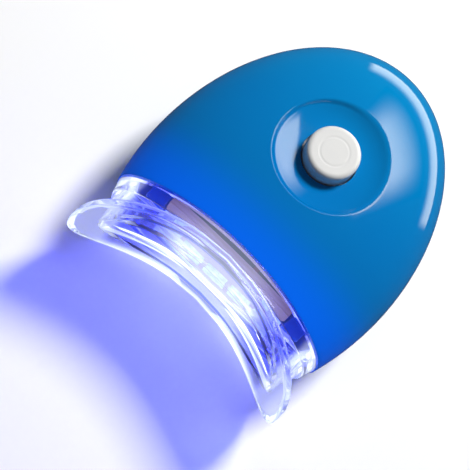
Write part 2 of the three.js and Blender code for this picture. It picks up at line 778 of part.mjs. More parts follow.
addPiece("top_shell", topShell(), colours.housing, 0.2);
addPiece("bottom_shell", bottomShell(), colours.housing, 0.2);
addPiece("clear_mouth_shield", clearShield(), colours.clear, 0.05);
addPiece("power_button", powerButton(), colours.button, 0.35);
addPiece("switch_plunger", switchPlunger(), colours.dark, 0.5);
addPiece("switch_body", switchBody(), colours.dark, 0.5);
addPiece("lamp_board", lampBoard(), colours.lampBoard, 0.6);
for (let i = 0; i < lampCount; i += 1) {
  const x = (i - (lampCount - 1) / 2) * lampPitch;
  addPiece(`lamp_${i + 1}`, lamp(x), colours.lamp, 0.3);
}
addPiece("main_board", mainBoard(), colours.board, 0.5);
addPiece("timer_chip", onBoard(0, chipSetback, chipLength, chipWidth, chipHeight), colours.dark, 0.6);
[-resistorX, resistorX].forEach((x, i) => {
  const shape = onBoard(x, resistorSetback, resistorLength, resistorWidth, resistorHeight);
  addPiece(`resistor_${i + 1}`, shape, colours.dark, 0.6);
});
addPiece("coin_cell_lower", coinCell(lowerCellBottom), colours.steel, 0.3, 1);
addPiece("coin_cell_upper", coinCell(upperCellBottom), colours.steel, 0.3, 1);
addPiece("cell_leaf_contact", cellLeaf(), colours.gold, 0.35, 1);
addPiece("cell_side_contact", cellStrip(), colours.gold, 0.35, 1);
addPiece("battery_cover", batteryCover(), colours.housing, 0.25);
shellScrewPlaces.forEach(([x, y], i) => {
  const seat = -shellScrewSeat - solderGap;
  addPiece(`shell_screw_${i + 1}`, screw(x, y, seat, shellScrewLength), colours.steel, 0.3, 1);
});
boardScrewPlaces.forEach(([x, y], i) => {
  const seat = boardBottom - solderGap;
  addPiece(`board_screw_${i + 1}`, screw(x, y, seat, boardScrewLength), colours.steel, 0.3, 1);
});
addPiece("wire_red", wire(wirePitch / 2), colours.red, 0.5);
addPiece("wire_black", wire(-wirePitch / 2), colours.black, 0.5);

export default part;
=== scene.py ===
# %% [markdown]
# A hand-held teeth whitening lamp. A glossy blue egg holds the battery and the boards, a white
# button stands in a dish on top, and a clear moulding at the front carries a curved mouth shield.
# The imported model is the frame: its solids give every place and size, and this script gives the
# lamp its fine surfaces, its finishes, the light and the camera. All lengths are in metres.

# %% Load the frame
import json
import math

import bpy
from mathutils import Matrix, Vector

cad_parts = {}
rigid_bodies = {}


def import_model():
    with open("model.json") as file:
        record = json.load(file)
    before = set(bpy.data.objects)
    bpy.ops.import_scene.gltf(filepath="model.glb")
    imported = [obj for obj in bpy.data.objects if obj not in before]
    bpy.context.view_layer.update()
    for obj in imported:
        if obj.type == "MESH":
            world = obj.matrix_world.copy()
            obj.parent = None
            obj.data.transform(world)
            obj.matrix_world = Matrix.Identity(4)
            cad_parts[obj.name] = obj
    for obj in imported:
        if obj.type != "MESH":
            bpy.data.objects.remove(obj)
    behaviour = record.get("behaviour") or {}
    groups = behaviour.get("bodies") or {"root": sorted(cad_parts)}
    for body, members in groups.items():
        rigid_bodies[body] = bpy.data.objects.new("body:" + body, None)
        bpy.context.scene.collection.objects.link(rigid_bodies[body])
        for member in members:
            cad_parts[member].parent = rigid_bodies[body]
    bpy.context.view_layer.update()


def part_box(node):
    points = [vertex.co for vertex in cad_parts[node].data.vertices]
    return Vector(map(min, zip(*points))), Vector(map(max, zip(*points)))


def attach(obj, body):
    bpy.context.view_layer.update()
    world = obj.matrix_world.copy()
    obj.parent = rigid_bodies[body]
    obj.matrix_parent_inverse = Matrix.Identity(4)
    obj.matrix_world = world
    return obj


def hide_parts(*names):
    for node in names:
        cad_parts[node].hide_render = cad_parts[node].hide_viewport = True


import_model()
MM = 0.001

# %% [markdown]
# The housing is one egg, split along its widest line. Most of its sizes are read from the frame:
# the shells' boxes give its half axes, and the main board starts where the mouth does. Only what a
# box can't tell, such as the roundness of a section or a radius, is written here again.

# %% Read the egg's sizes from the frame
top_low, top_high = (Vector(c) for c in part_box("top_shell"))
bottom_high = Vector(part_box("bottom_shell")[1])
shield_low, shield_high = (Vector(c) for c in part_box("clear_mouth_shield"))
button_low, button_high = (Vector(c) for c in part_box("power_button"))
cover_low, cover_high = (Vector(c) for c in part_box("battery_cover"))

seam_gap = 0.1 * MM
wall = 1.6 * MM
top_roundness = 2.1
bottom_roundness = 2.4
bottom_height = 14.6 * MM
widest_to_mouth = 11.2 * MM
mouth_radius = 107 * MM
seam_z = top_low.z - seam_gap / 2
half_width = bottom_high.x
top_height = top_high.z - seam_z
mouth_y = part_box("main_board")[0][1]
middle_y = mouth_y + widest_to_mouth
half_length = top_high.y - middle_y
button_y = (button_low.y + button_high.y) / 2
cover_y = (cover_low.y + cover_high.y) / 2
print("egg middle y", round(middle_y / MM, 2), "mouth y", round(mouth_y / MM, 2))

# %% [markdown]
# The camera looks down steeply from the front, a little from the right, and is rolled so that
# the lamp lies across the picture. It stands 300 mm away behind a long lens.

# %% Place the camera
AZIMUTH = math.radians(7)
ELEVATION = math.radians(70.2)
ROLL = math.radians(37.7)
DISTANCE = 300 * MM
PIXELS_PER_MM = 6.1
PICTURE = 470
AIM_PIXEL = (226.7, 264.0)
FILM_WIDTH = 36

toward = Vector((
    math.sin(AZIMUTH) * math.cos(ELEVATION),
    -math.cos(AZIMUTH) * math.cos(ELEVATION),
    math.sin(ELEVATION),
))
level_right = Vector((math.cos(AZIMUTH), math.sin(AZIMUTH), 0))
level_up = toward.cross(level_right)
view_right = level_right * math.cos(ROLL) + level_up * math.sin(ROLL)
view_up = level_up * math.cos(ROLL) - level_right * math.sin(ROLL)

aim = Vector((0, mouth_y, seam_z))
aside = (AIM_PIXEL[0] - PICTURE / 2) / PIXELS_PER_MM * MM
above = (PICTURE / 2 - AIM_PIXEL[1]) / PIXELS_PER_MM * MM
eye = aim + toward * DISTANCE - view_right * aside - view_up * above

bpy.ops.object.camera_add()
camera = bpy.context.object
camera.name = "view_camera"
camera.data.sensor_width = FILM_WIDTH
camera.data.lens = FILM_WIDTH * PIXELS_PER_MM * DISTANCE / MM / PICTURE
camera.data.clip_start = 0.01
camera.data.dof.use_dof = False
turn = Matrix((view_right, view_up, toward)).transposed().to_4x4()
camera.matrix_world = Matrix.Translation(eye) @ turn
bpy.context.scene.camera = camera
print("lens", round(camera.data.lens, 1), "mm")

# %% [markdown]
# A few small helpers keep the later steps short: one deselects everything, one applies a modifier,
# one moves a new object's place into its mesh, and one copies a piece with a mesh of its own.

# %% Helpers for modelling
MERGE = 1e-6


def deselect_all():
    if bpy.context.mode != "OBJECT":
        bpy.ops.object.mode_set(mode="OBJECT")
    bpy.ops.object.select_all(action="DESELECT")


def pick(piece):
    deselect_all()
    piece.select_set(True)
    bpy.context.view_layer.objects.active = piece


def finish_modifier(piece, kind, **settings):
    pick(piece)
    modifier = piece.modifiers.new(kind.lower(), kind)
    for key, value in settings.items():
        setattr(modifier, key, value)
    bpy.ops.object.modifier_apply(modifier=modifier.name)


def settle(piece, name):
    pick(piece)
    bpy.ops.object.transform_apply(location=True, rotation=True, scale=True)
    piece.name = name
    piece.data.name = name


def copy_across(piece, shift):
    pick(piece)
    bpy.ops.object.duplicate()
    copy = bpy.context.object
    copy.location.x += shift
    settle(copy, piece.name + "_copy")
    return copy


def edit_all(piece):
    pick(piece)
    bpy.ops.object.mode_set(mode="EDIT")
    bpy.ops.mesh.select_all(action="SELECT")


def outward(piece):
    edit_all(piece)
    bpy.ops.mesh.remove_doubles(threshold=MERGE)
    bpy.ops.mesh.normals_make_consistent(inside=False)
    bpy.ops.object.mode_set(mode="OBJECT")


def flip(piece):
    edit_all(piece)
    bpy.ops.mesh.flip_normals()
    bpy.ops.object.mode_set(mode="OBJECT")


def smooth(piece, degrees):
    pick(piece)
    bpy.ops.object.shade_smooth_by_angle(angle=math.radians(degrees))


def cut(piece, cutter, operation="DIFFERENCE"):
    finish_modifier(piece, "BOOLEAN", operation=operation, object=cutter, solver="EXACT")
    bpy.data.objects.remove(cutter, do_unlink=True)


def soften(piece, width, segments, degrees=60):
    finish_modifier(
        piece, "BEVEL", width=width, segments=segments, limit_method="ANGLE",
        angle_limit=math.radians(degrees),
    )


def report(piece):
    faces = sum(len(p.vertices) - 2 for p in piece.data.polygons)
    size = [round(v / MM, 2) for v in piece.dimensions]
    print(piece.name, faces, "triangles, size in mm", size)


# %% Helpers for simple starts
def rod(x, y, radius, low, high, sides=48):
    deselect_all()
    bpy.ops.mesh.primitive_cylinder_add(
        vertices=sides, radius=radius, depth=high - low, location=(x, y, (low + high) / 2)
    )
    settle(bpy.context.object, "rod")
    return bpy.context.object


def rod_along_y(x, radius, front, rear, sides):
    deselect_all()
    bpy.ops.mesh.primitive_cylinder_add(
        vertices=sides, radius=radius, depth=rear - front,
        location=(x, (front + rear) / 2, seam_z), rotation=(math.pi / 2, 0, 0),
    )
    settle(bpy.context.object, "rod_along_y")
    return bpy.context.object


def block(x0, x1, y0, y1, z0, z1):
    deselect_all()
    middle_point = ((x0 + x1) / 2, (y0 + y1) / 2, (z0 + z1) / 2)
    bpy.ops.mesh.primitive_cube_add(size=1, location=middle_point)
    piece = bpy.context.object
    piece.scale = (x1 - x0, y1 - y0, z1 - z0)
    settle(piece, "block")
    return piece


# %% [markdown]
# The egg is a stretched ball whose section is a little squarer than a circle. For a point of its
# plan, one function gives the height above or below the seam. The dish is a floor that leans to
# the rear. Towards the mouth and the left it turns up into a shallow bowl, which catches the wide
# crescent of light, and a short steep lip closes it. On the other side its wall is one smooth
# curve. A soft minimum of the egg and the dish rounds the rim, as the mould does.

# %% The egg's surface and the dish
dish_slope = 0.098
dish_floor = seam_z + 9.8 * MM
dish_floor_radius = 5 * MM
bowl_radius = 9.2 * MM
dish_radius = 9.9 * MM
dish_depth = 1.28 * MM
bowl_slope = 0.3
rim_softness = 0.5 * MM
wall_curve = 2.2
lip_direction = (-0.75, -0.66)
lip_reach = 0.7
bowl_depth = bowl_slope * (bowl_radius - dish_floor_radius) / 2
lip_depth = dish_depth - bowl_depth
half_shapes = {1: (top_height, top_roundness), -1: (bottom_height, bottom_roundness)}


def egg_height(x, y, side):
    height, roundness = half_shapes[side]
    share = (x / half_width) ** 2 + ((y - middle_y) / half_length) ** 2
    share = min(share, 1.0) ** (roundness / 2)
    return height * (1 - share) ** (1 / roundness)


def between(value, low, high):
    return min(max(low, value), high)


def dish_height(x, y):
    forward = y - button_y
    radius = math.hypot(x, forward)
    past_floor = max(0.0, radius - dish_floor_radius)
    bowl_rise = between(past_floor / (bowl_radius - dish_floor_radius), 0.0, 1.0)
    lip_rise = max(0.0, (radius - bowl_radius) / (dish_radius - bowl_radius))
    lip = lip_depth * (lip_rise ** 2 if lip_rise < 1 else 2 * lip_rise - 1)
    lipped_wall = bowl_depth * bowl_rise ** 2 + lip
    round_wall = dish_depth * (past_floor / (dish_radius - dish_floor_radius)) ** wall_curve
    towards_lip = (lip_direction[0] * x + lip_direction[1] * forward) / max(radius, 1 * MM)
    share = between(lip_reach + towards_lip, 0.0, 1.0)
    lift = share * lipped_wall + (1 - share) * round_wall
    return dish_floor - seam_z - dish_slope * forward + lift


def soft_minimum(a, b, softness):
    spread = max(softness - abs(a - b), 0.0) / softness
    return min(a, b) - spread ** 2 * softness / 4


# %% [markdown]
# Each shell starts as a flat grid. Its rows run from the mouth's curve to the rear point, and its
# columns run over the egg from one side of the seam to the other, so the front row already lies on
# the mouth's curve and no cut has to cross the glossy surface. A Solidify modifier gives the wall.

# %% Make a shell's outer skin from a grid
def drop_of(x, radius):
    return radius - math.sqrt(radius ** 2 - x ** 2)


def egg_skin(side, columns, rows, height_at):
    deselect_all()
    bpy.ops.mesh.primitive_grid_add(x_subdivisions=columns, y_subdivisions=rows, size=2)
    piece = bpy.context.object
    start = math.asin((mouth_y - middle_y) / half_length)
    for vertex in piece.data.vertices:
        around = (vertex.co.x + 1) / 2 * math.pi
        along = (vertex.co.y + 1) / 2
        base = start + (math.pi / 2 - start) * along
        x = 0.0
        y = middle_y + half_length * math.sin(base)
        fade = (1 - along) ** 2
        for _ in range(12):
            reach = half_width * math.sqrt(max(0.0, 1 - ((y - middle_y) / half_length) ** 2))
            x = -reach * math.cos(around)
            y = middle_y + half_length * math.sin(base) - fade * drop_of(x, mouth_radius)
        height = 0.0 if vertex.co.x in (-1.0, 1.0) else height_at(x, y)
        vertex.co = (x, y, seam_z + side * (height + seam_gap / 2))
    return piece


def top_surface(x, y):
    egg = egg_height(x, y, 1)
    dish = dish_height(x, y)
    return soft_minimum(egg, dish, rim_softness)


print("height over the button's place, mm:", round(top_surface(0, button_y) / MM, 2))

# %% [markdown]
# The grid's last row shrinks to one point at the rear, so its points are merged there. It is also
# too coarse for the dish's lip. The faces in a ring round the lip are subdivided, and the new
# points are put back on the surface.

# %% Helpers for the shells
def merge_rear_point(piece):
    edit_all(piece)
    bpy.ops.mesh.remove_doubles(threshold=2 * MERGE)
    bpy.ops.object.mode_set(mode="OBJECT")


def join_pieces(keeper, others):
    pick(keeper)
    for other in others:
        other.select_set(True)
    bpy.ops.object.join()
    return keeper


def refine_dish(piece, near, far, cuts):
    pick(piece)
    bpy.ops.object.mode_set(mode="EDIT")
    bpy.ops.mesh.select_mode(type="FACE")
    bpy.ops.mesh.select_all(action="DESELECT")
    bpy.ops.object.mode_set(mode="OBJECT")
    for face in piece.data.polygons:
        radius = math.hypot(face.center.x, face.center.y - button_y)
        face.select = near < radius < far
    bpy.ops.object.mode_set(mode="EDIT")
    bpy.ops.mesh.subdivide(number_cuts=cuts)
    bpy.ops.mesh.select_mode(type="VERT")
    bpy.ops.object.mode_set(mode="OBJECT")
    for vertex in piece.data.vertices:
        x, y, _ = vertex.co
        if math.hypot(x, y - button_y) < far + 1 * MM:
            vertex.co.z = seam_z + seam_gap / 2 + top_surface(x, y)


# %% [markdown]
# The upper shell is the skin with its wall and a round hole for the button. Two arms reach
# forward into the clear collar and hold it. They show through the collar as two dark blue blocks.

# %% Make the upper shell
skin_columns = 128
skin_rows = 150
hole_radius = 4.9 * MM
hole_reach = 4 * MM
seam_edge = 0.12 * MM
ring_inside = 0.6 * MM
ring_outside = 0.9 * MM
ring_cuts = 3

top = egg_skin(1, skin_columns, skin_rows, top_surface)
merge_rear_point(top)
refine_dish(top, bowl_radius - ring_inside, dish_radius + ring_outside, ring_cuts)
finish_modifier(top, "SOLIDIFY", thickness=wall, offset=-1)
soften(top, seam_edge, 2)
cut(top, rod(0, button_y, hole_radius, dish_floor - hole_reach, dish_floor + hole_reach, sides=96))
print("upper skin:", len(top.data.polygons), "faces")

# %% Add the arms
arm_inner = 13.3 * MM
arm_width = 3.4 * MM
arm_low = seam_z + 2.4 * MM
arm_height = 2.4 * MM
arm_front = mouth_y - 2.5 * MM
arm_rear = mouth_y + 4.7 * MM
arm = block(
    arm_inner, arm_inner + arm_width, arm_front, arm_rear, arm_low, arm_low + arm_height,
)
finish_modifier(arm, "BEVEL", width=0.25 * MM, segments=3)
join_pieces(top, [arm, copy_across(arm, -2 * arm_inner - arm_width)])
top.name = top.data.name = "upper_shell_abs"
smooth(top, 40)
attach(top, "housing")
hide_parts("top_shell")
report(top)

# %% [markdown]
# The lower shell is the same skin below the seam, but its underside is flat so that the lamp
# stands level. The skin is made upside down, so its faces are flipped before it gets its wall.

# %% Make the lower shell
flat_softness = 0.7 * MM


def bottom_surface(x, y):
    return soft_minimum(egg_height(x, y, -1), seam_z - seam_gap / 2, flat_softness)


bottom = egg_skin(-1, skin_columns, skin_rows, bottom_surface)
merge_rear_point(bottom)
flip(bottom)
finish_modifier(bottom, "SOLIDIFY", thickness=wall, offset=-1)
soften(bottom, seam_edge, 2)
print("lower skin:", len(bottom.data.polygons), "faces")

# %% [markdown]
# Three screws come up from below in deep wells. Each well's boss is a rod that is trimmed to a
# slightly smaller closed egg, so that it ends inside the wall, and then welded to the shell. A
# wide hole for the screw's head and a narrow one for its shank are cut into it.

# %% Add the screw wells
screw_places = [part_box("shell_screw_" + str(i)) for i in (1, 2, 3)]
screw_seat = max(high[2] for low, high in screw_places) - 9.5 * MM
boss_radius = 3.4 * MM
head_hole_radius = 2.3 * MM
shank_hole_radius = 1.15 * MM
shank_cover = 1 * MM
hidden_inset = 0.6 * MM
under = -2 * MM


def closed_lower_egg(inset):
    coarse = 48
    body = egg_skin(-1, coarse, coarse, lambda x, y: max(0.0, bottom_surface(x, y) - inset))
    merge_rear_point(body)
    pick(body)
    bpy.ops.object.mode_set(mode="EDIT")
    bpy.ops.mesh.select_all(action="DESELECT")
    bpy.ops.mesh.select_non_manifold()
    bpy.ops.mesh.edge_face_add()
    bpy.ops.object.mode_set(mode="OBJECT")
    outward(body)
    return body


for low, high in screw_places:
    x, y = (low[0] + high[0]) / 2, (low[1] + high[1]) / 2
    boss = rod(x, y, boss_radius, under / 2, seam_z - seam_gap)
    cut(boss, closed_lower_egg(hidden_inset), "INTERSECT")
    cut(bottom, boss, "UNION")
    cut(bottom, rod(x, y, head_hole_radius, under, screw_seat))
    cut(bottom, rod(x, y, shank_hole_radius, under, seam_z - shank_cover))
print("with screw wells:", len(bottom.data.polygons), "faces")

# %% [markdown]
# The battery cover sits in a round recess. Two notches in its edge, turned by 40 degrees, let the
# cover's lugs out when it is twisted.

# %% Add the recess for the cover
recess_radius = 12.35 * MM
recess_roof = cover_high.z + 0.1 * MM
notch_reach = 13.4 * MM
notch_half_width = 2.9 * MM
notch_angles = (40, 220)
cut(bottom, rod(0, cover_y, recess_radius, under, recess_roof, sides=128))
for angle in notch_angles:
    notch = block(
        recess_radius - 1 * MM, notch_reach,
        cover_y - notch_half_width, cover_y + notch_half_width, under, recess_roof,
    )
    around = Matrix.Translation((0, cover_y, 0)) @ Matrix.Rotation(math.radians(angle), 4, "Z")
    notch.data.transform(around @ Matrix.Translation((0, -cover_y, 0)))
    cut(bottom, notch)
bottom.name = bottom.data.name = "lower_shell_abs"
smooth(bottom, 40)
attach(bottom, "housing")
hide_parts("bottom_shell")
report(bottom)

# %% [markdown]
# The mouth shield is one clear acrylic moulding. It is built the way it is thought of: a curved
# plate, a hollow neck with a collar that meets the housing, and a pocket for a mouth tray's tab.
# Each part gets its rounded edges first, and then exact booleans weld them into one closed body,
# because light bends wrongly through acrylic that overlaps itself.

# %% Sizes of the clear moulding
shield_half_width = shield_high.x
shield_half_height = shield_high.z - seam_z
shield_roundness = 5.1
shield_end_roundness = 2.4
shield_radius = 35 * MM
shield_thickness = 1.5 * MM
shield_setback = 2.7 * MM
collar_depth = 2.6 * MM
plug_depth = 2.4 * MM
part_gap = 0.3 * MM
clear_wall = 1.4 * MM
mouth_share = widest_to_mouth / half_length
mouth_half_width = half_width * math.sqrt(1 - mouth_share ** 2)
mouth_top = top_height * (1 - mouth_share ** top_roundness) ** (1 / top_roundness)
neck_half_width = mouth_half_width - 1.4 * MM
neck_half_height = mouth_top - 2 * MM
neck_roundness = 2.6
neck_front_half_width = shield_half_width - 3.1 * MM
neck_front_depth = shield_setback + drop_of(neck_front_half_width, shield_radius)
neck_taper = (neck_half_width - neck_front_half_width) / neck_front_depth
pocket_half_width = neck_front_half_width - 1.2 * MM
pocket_half_height = 3.7 * MM
pocket_wall = 0.9 * MM
pocket_roundness = 5
pocket_floor = mouth_y - 3.7 * MM
plate_middle_y = mouth_y - shield_setback - shield_thickness / 2
print("half width of the mouth in mm:", round(mouth_half_width / MM, 2))


def rounded(angle, half_wide, half_high, roundness, end_roundness=None):
    c, s = math.cos(angle), math.sin(angle)
    x = math.copysign(abs(c) ** (2 / roundness), c) * half_wide
    z = math.copysign(abs(s) ** (2 / (end_roundness or roundness)), s) * half_high
    return x, z


# %% [markdown]
# The plate starts as a flat grid whose squares are drawn onto the rounded outline, ring by ring,
# and is then wrapped round the curve of the teeth. Solidify gives it a second face, which is moved
# onto the inner curve straight in front of the first, so that the ends are cut square to the mouth.
# A bevel rounds the rim, which is what catches the bright line in the photograph.

# %% Make the curved plate
def curved_plate():
    deselect_all()
    bpy.ops.mesh.primitive_grid_add(x_subdivisions=72, y_subdivisions=36, size=2)
    piece = bpy.context.object
    for vertex in piece.data.vertices:
        u, v = vertex.co.x, vertex.co.y
        ring = max(abs(u), abs(v))
        x, z = 0.0, 0.0
        if ring > 0:
            angle = math.atan2(v, u)
            x, z = (ring * part for part in rounded(
                angle, shield_half_width, shield_half_height,
                shield_roundness, shield_end_roundness,
            ))
        y = mouth_y - shield_setback - drop_of(x, shield_radius)
        vertex.co = (x, y, seam_z + z)
    outward(piece)
    if piece.data.polygons[0].normal.y < 0:
        flip(piece)
    finish_modifier(piece, "SOLIDIFY", thickness=shield_thickness, offset=-1)
    inner_radius = shield_radius - shield_thickness
    inner_y = mouth_y - shield_setback - shield_thickness
    count = len(piece.data.vertices) // 2
    for rear, front in zip(piece.data.vertices[:count], piece.data.vertices[count:]):
        front.co = (rear.co.x, inner_y - drop_of(rear.co.x, inner_radius), rear.co.z)
    outward(piece)
    soften(piece, 0.5 * MM, 4, 50)
    return piece


# %% [markdown]
# The neck and the collar are a sleeve. A flat grid again gives the quads: its columns go round the
# sleeve and its rows follow a path from the plate, over the collar's step, into the housing and
# back along the inside. The first and last rows meet, so the sleeve is closed.

# %% Make the sleeve of neck and collar
def sleeve_section(kind, inset, angle, y):
    if kind == "neck":
        wide = neck_half_width - inset + neck_taper * (y - mouth_y)
        return rounded(angle, wide, neck_half_height - inset, neck_roundness)
    reach = math.sqrt(max(0.0, 1 - ((y - middle_y) / (half_length - inset)) ** 2))
    side = 1 if math.sin(angle) >= 0 else -1
    height, roundness = half_shapes[side]
    x = (half_width - inset) * reach * math.cos(angle)
    share = (x / (half_width - inset)) ** 2 + ((y - middle_y) / (half_length - inset)) ** 2
    z = (height - inset) * (1 - min(share, 1.0) ** (roundness / 2)) ** (1 / roundness)
    return x, side * z


def sleeve_point(kind, inset, angle, y_middle, follows, share=1.0):
    x, z = 0.0, 0.0
    y = y_middle
    for _ in range(10):
        x, z = (share * v for v in sleeve_section(kind, inset, angle, y))
        if follows == "mouth":
            y = y_middle - drop_of(x, mouth_radius)
        else:
            y = y_middle - drop_of(min(abs(x), shield_half_width), shield_radius)
    return x, y, z


collar_rear = mouth_y - part_gap
collar_front = mouth_y - part_gap - collar_depth
collar_inset = 0.2 * MM
plug_inset = wall + part_gap
plug_rear = mouth_y + plug_depth
round_edge = 0.35 * MM
round_steps = 4
hair = 0.02 * MM
rounding = []
for step in range(round_steps + 1):
    lean = math.radians(90 * step / round_steps)
    inset = collar_inset + round_edge * (1 - math.sin(lean))
    rounding.append(("egg", inset, collar_front + round_edge * (1 - math.cos(lean)), "mouth"))
collar_path = [
    ("neck", 0.0, plate_middle_y, "shield"),
    ("neck", 0.0, collar_front - 0.05 * MM, "mouth"),
    *rounding,
    ("egg", collar_inset, collar_rear, "mouth"),
    ("egg", plug_inset, collar_rear + hair, "mouth"),
    ("egg", plug_inset, plug_rear, "mouth"),
    ("neck", clear_wall, plug_rear, "mouth"),
    ("neck", clear_wall, collar_front, "mouth"),
    ("neck", clear_wall, plate_middle_y, "shield"),
]
print("the sleeve's path has", len(collar_path), "rows")


def sleeve_from(path, closed):
    rows = len(path) if closed else len(path) - 1
    deselect_all()
    bpy.ops.mesh.primitive_grid_add(x_subdivisions=128, y_subdivisions=rows, size=2)
    piece = bpy.context.object
    for vertex in piece.data.vertices:
        angle = (vertex.co.x + 1) * math.pi
        row = round((vertex.co.y + 1) / 2 * rows) % len(path)
        kind, inset, y_middle, follows, *share = path[row]
        x, y, z = sleeve_point(kind, inset, angle, y_middle, follows, *share)
        vertex.co = (x, y, seam_z + z)
    outward(piece)
    return piece


# %% [markdown]
# The pocket is a rounded box sunk into the plate's middle. Its outline is a flat circle that is
# squared up, then extruded along Y. The same function makes the pocket's wall and its hollow.

# %% Helpers for the pocket
def pocket_prism(grow, y_front, y_rear, rim):
    deselect_all()
    bpy.ops.mesh.primitive_circle_add(vertices=96, radius=1, fill_type="NGON")
    piece = bpy.context.object
    for vertex in piece.data.vertices:
        angle = math.atan2(vertex.co.y, vertex.co.x)
        wide, high = pocket_half_width + grow, pocket_half_height + grow
        x, z = rounded(angle, wide, high, pocket_roundness)
        vertex.co = (x, y_front, seam_z + z)
    edit_all(piece)
    bpy.ops.mesh.extrude_region_move(TRANSFORM_OT_translate={"value": (0, y_rear - y_front, 0)})
    bpy.ops.object.mode_set(mode="OBJECT")
    outward(piece)
    soften(piece, rim, 3)
    return piece


def neck_filler():
    steps = 8
    path = [("neck", hair, plate_middle_y, "shield", i / steps) for i in range(steps + 1)]
    path += [("neck", hair, plug_rear, "mouth", 1 - i / steps) for i in range(steps + 1)]
    return sleeve_from(path, closed=False)


# %% [markdown]
# The parts are welded one after another, and then the pocket is sunk into the plate. In it stand
# two hollow pegs that hold a mouth tray's tab. One peg is modelled and copied. Last, the foot is
# cut level, just above the floor.

# %% Weld the moulding
front_y = shield_low.y - 2 * MM
clear = curved_plate()
cut(clear, sleeve_from(collar_path, closed=True), "UNION")
pocket_box = pocket_prism(pocket_wall, front_y, pocket_floor + pocket_wall, rim=0.4 * MM)
cut(pocket_box, neck_filler(), "INTERSECT")
cut(clear, pocket_box, "UNION")
cut(clear, pocket_prism(0, front_y, pocket_floor, rim=0.35 * MM))

peg_radius = 1.1 * MM
peg_bore = 0.45 * MM
peg_length = 3 * MM
peg_offset = pocket_half_width - 1.6 * MM
peg_rear = pocket_floor + pocket_wall / 2
first_peg = rod_along_y(peg_offset, peg_radius, peg_rear - peg_length, peg_rear, 32)
soften(first_peg, 0.25 * MM, 3)
first_bore = rod_along_y(peg_offset, peg_bore, pocket_floor - 2 * peg_length, pocket_floor, 24)
other_peg = copy_across(first_peg, -2 * peg_offset)
other_bore = copy_across(first_bore, -2 * peg_offset)
for peg, bore in ((first_peg, first_bore), (other_peg, other_bore)):
    cut(clear, peg, "UNION")
    cut(clear, bore)
beyond = 40 * MM
foot_clearance = 0.2 * MM
cut(clear, block(-beyond, beyond, front_y, mouth_y + 10 * MM, -10 * MM, foot_clearance))
clear.name = clear.data.name = "mouth_shield_acrylic"
smooth(clear, 38)
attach(clear, "housing")
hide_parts("clear_mouth_shield")
report(clear)

# %% [markdown]
# The button is a moulded cap: a disc with a rounded rim, a faint ring pressed into its top, and a
# wider skirt below that keeps it from falling out. Its outline is drawn as one chain of points and
# spun about its axis.

# %% Make the button
def spun(outline, x, y, name, steps=96):
    deselect_all()
    bpy.ops.mesh.primitive_plane_add(size=1)
    piece = bpy.context.object
    edit_all(piece)
    bpy.ops.mesh.delete(type="VERT")
    bpy.ops.object.mode_set(mode="OBJECT")
    edges = [(i, i + 1) for i in range(len(outline) - 1)]
    piece.data.from_pydata([(r, 0, z) for r, z in outline], edges, [])
    edit_all(piece)
    bpy.ops.mesh.spin(steps=steps, angle=2 * math.pi, center=(0, 0, 0), axis=(0, 0, 1))
    outward(piece)
    piece.location = (x, y, 0)
    settle(piece, name)
    return piece


def arc(r0, z0, radius, start, end, steps):
    points = []
    for i in range(steps + 1):
        angle = math.radians(start + (end - start) * i / steps)
        points.append((r0 + radius * math.cos(angle), z0 + radius * math.sin(angle)))
    return points


button_radius = 4.6 * MM
button_top = button_high.z
button_skirt = button_high.x
skirt_top = button_low.z + 1 * MM
cap_ceiling = button_top - 1.8 * MM
cap_inner = button_radius - 1 * MM
stem_radius = 1.9 * MM
stem_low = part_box("switch_plunger")[1][2] + 0.05 * MM
edge_radius = 0.85 * MM
groove_radius = 2.5 * MM
groove_width = 0.25 * MM
groove_depth = 0.035 * MM

support = 0.1 * MM
groove_in, groove_out = groove_radius - groove_width, groove_radius + groove_width
groove_bottom = button_top - groove_depth
outline = [
    (0, button_top), (groove_in - support, button_top), (groove_in, button_top),
    (groove_radius - groove_width * 0.4, groove_bottom),
    (groove_radius + groove_width * 0.4, groove_bottom),
    (groove_out, button_top), (groove_out + support, button_top),
    (button_radius - edge_radius - support, button_top),
    *arc(button_radius - edge_radius, button_top - edge_radius, edge_radius, 90, 0, 12),
    (button_radius, skirt_top), (button_skirt, skirt_top), (button_skirt, button_low.z),
    (cap_inner, button_low.z), (cap_inner, cap_ceiling), (stem_radius, cap_ceiling),
    (stem_radius, stem_low), (0, stem_low),
]
button = spun(outline, 0, button_y, "button_cap_abs")
smooth(button, 40)
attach(button, "button")
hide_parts("power_button")
report(button)

# %% [markdown]
# The battery cover is a flat disc with a coin slot. Its rim is bevelled, the slot is cut with its
# ends rounded by the same bevel, and two lugs slide into the housing's groove.

# %% Make the battery cover
cover_radius = 12.2 * MM
lug_height = 0.6 * MM
slot_length = 14 * MM
slot_width = 1.7 * MM
slot_depth = 0.6 * MM
cover = rod(0, cover_y, cover_radius, cover_low.z, cover_high.z, sides=128)
soften(cover, 0.25 * MM, 3)
slot = block(
    -slot_length / 2, slot_length / 2, cover_y - slot_width / 2, cover_y + slot_width / 2,
    cover_low.z - 1 * MM, cover_low.z + slot_depth,
)
finish_modifier(slot, "BEVEL", width=0.3 * MM, segments=3)
cut(cover, slot)
lug_inner, lug_outer = cover_radius - 0.4 * MM, cover_radius + 0.9 * MM
lug_half = 2.5 * MM
lug = block(
    lug_inner, lug_outer, cover_y - lug_half, cover_y + lug_half,
    cover_high.z - lug_height, cover_high.z,
)
finish_modifier(lug, "BEVEL", width=0.15 * MM, segments=2)
for piece in (lug, copy_across(lug, -lug_inner - lug_outer)):
    cut(cover, piece, "UNION")
cover.name = cover.data.name = "battery_cover_abs"
smooth(cover, 35)
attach(cover, "cover")
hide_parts("battery_cover")
report(cover)

# %% [markdown]
# Materials come next. Colours are written as the sRGB hex values that a picture shows, and one
# function turns them to the linear values that Blender's shaders work in. One small function adds
# a node, sets its values and joins its inputs.

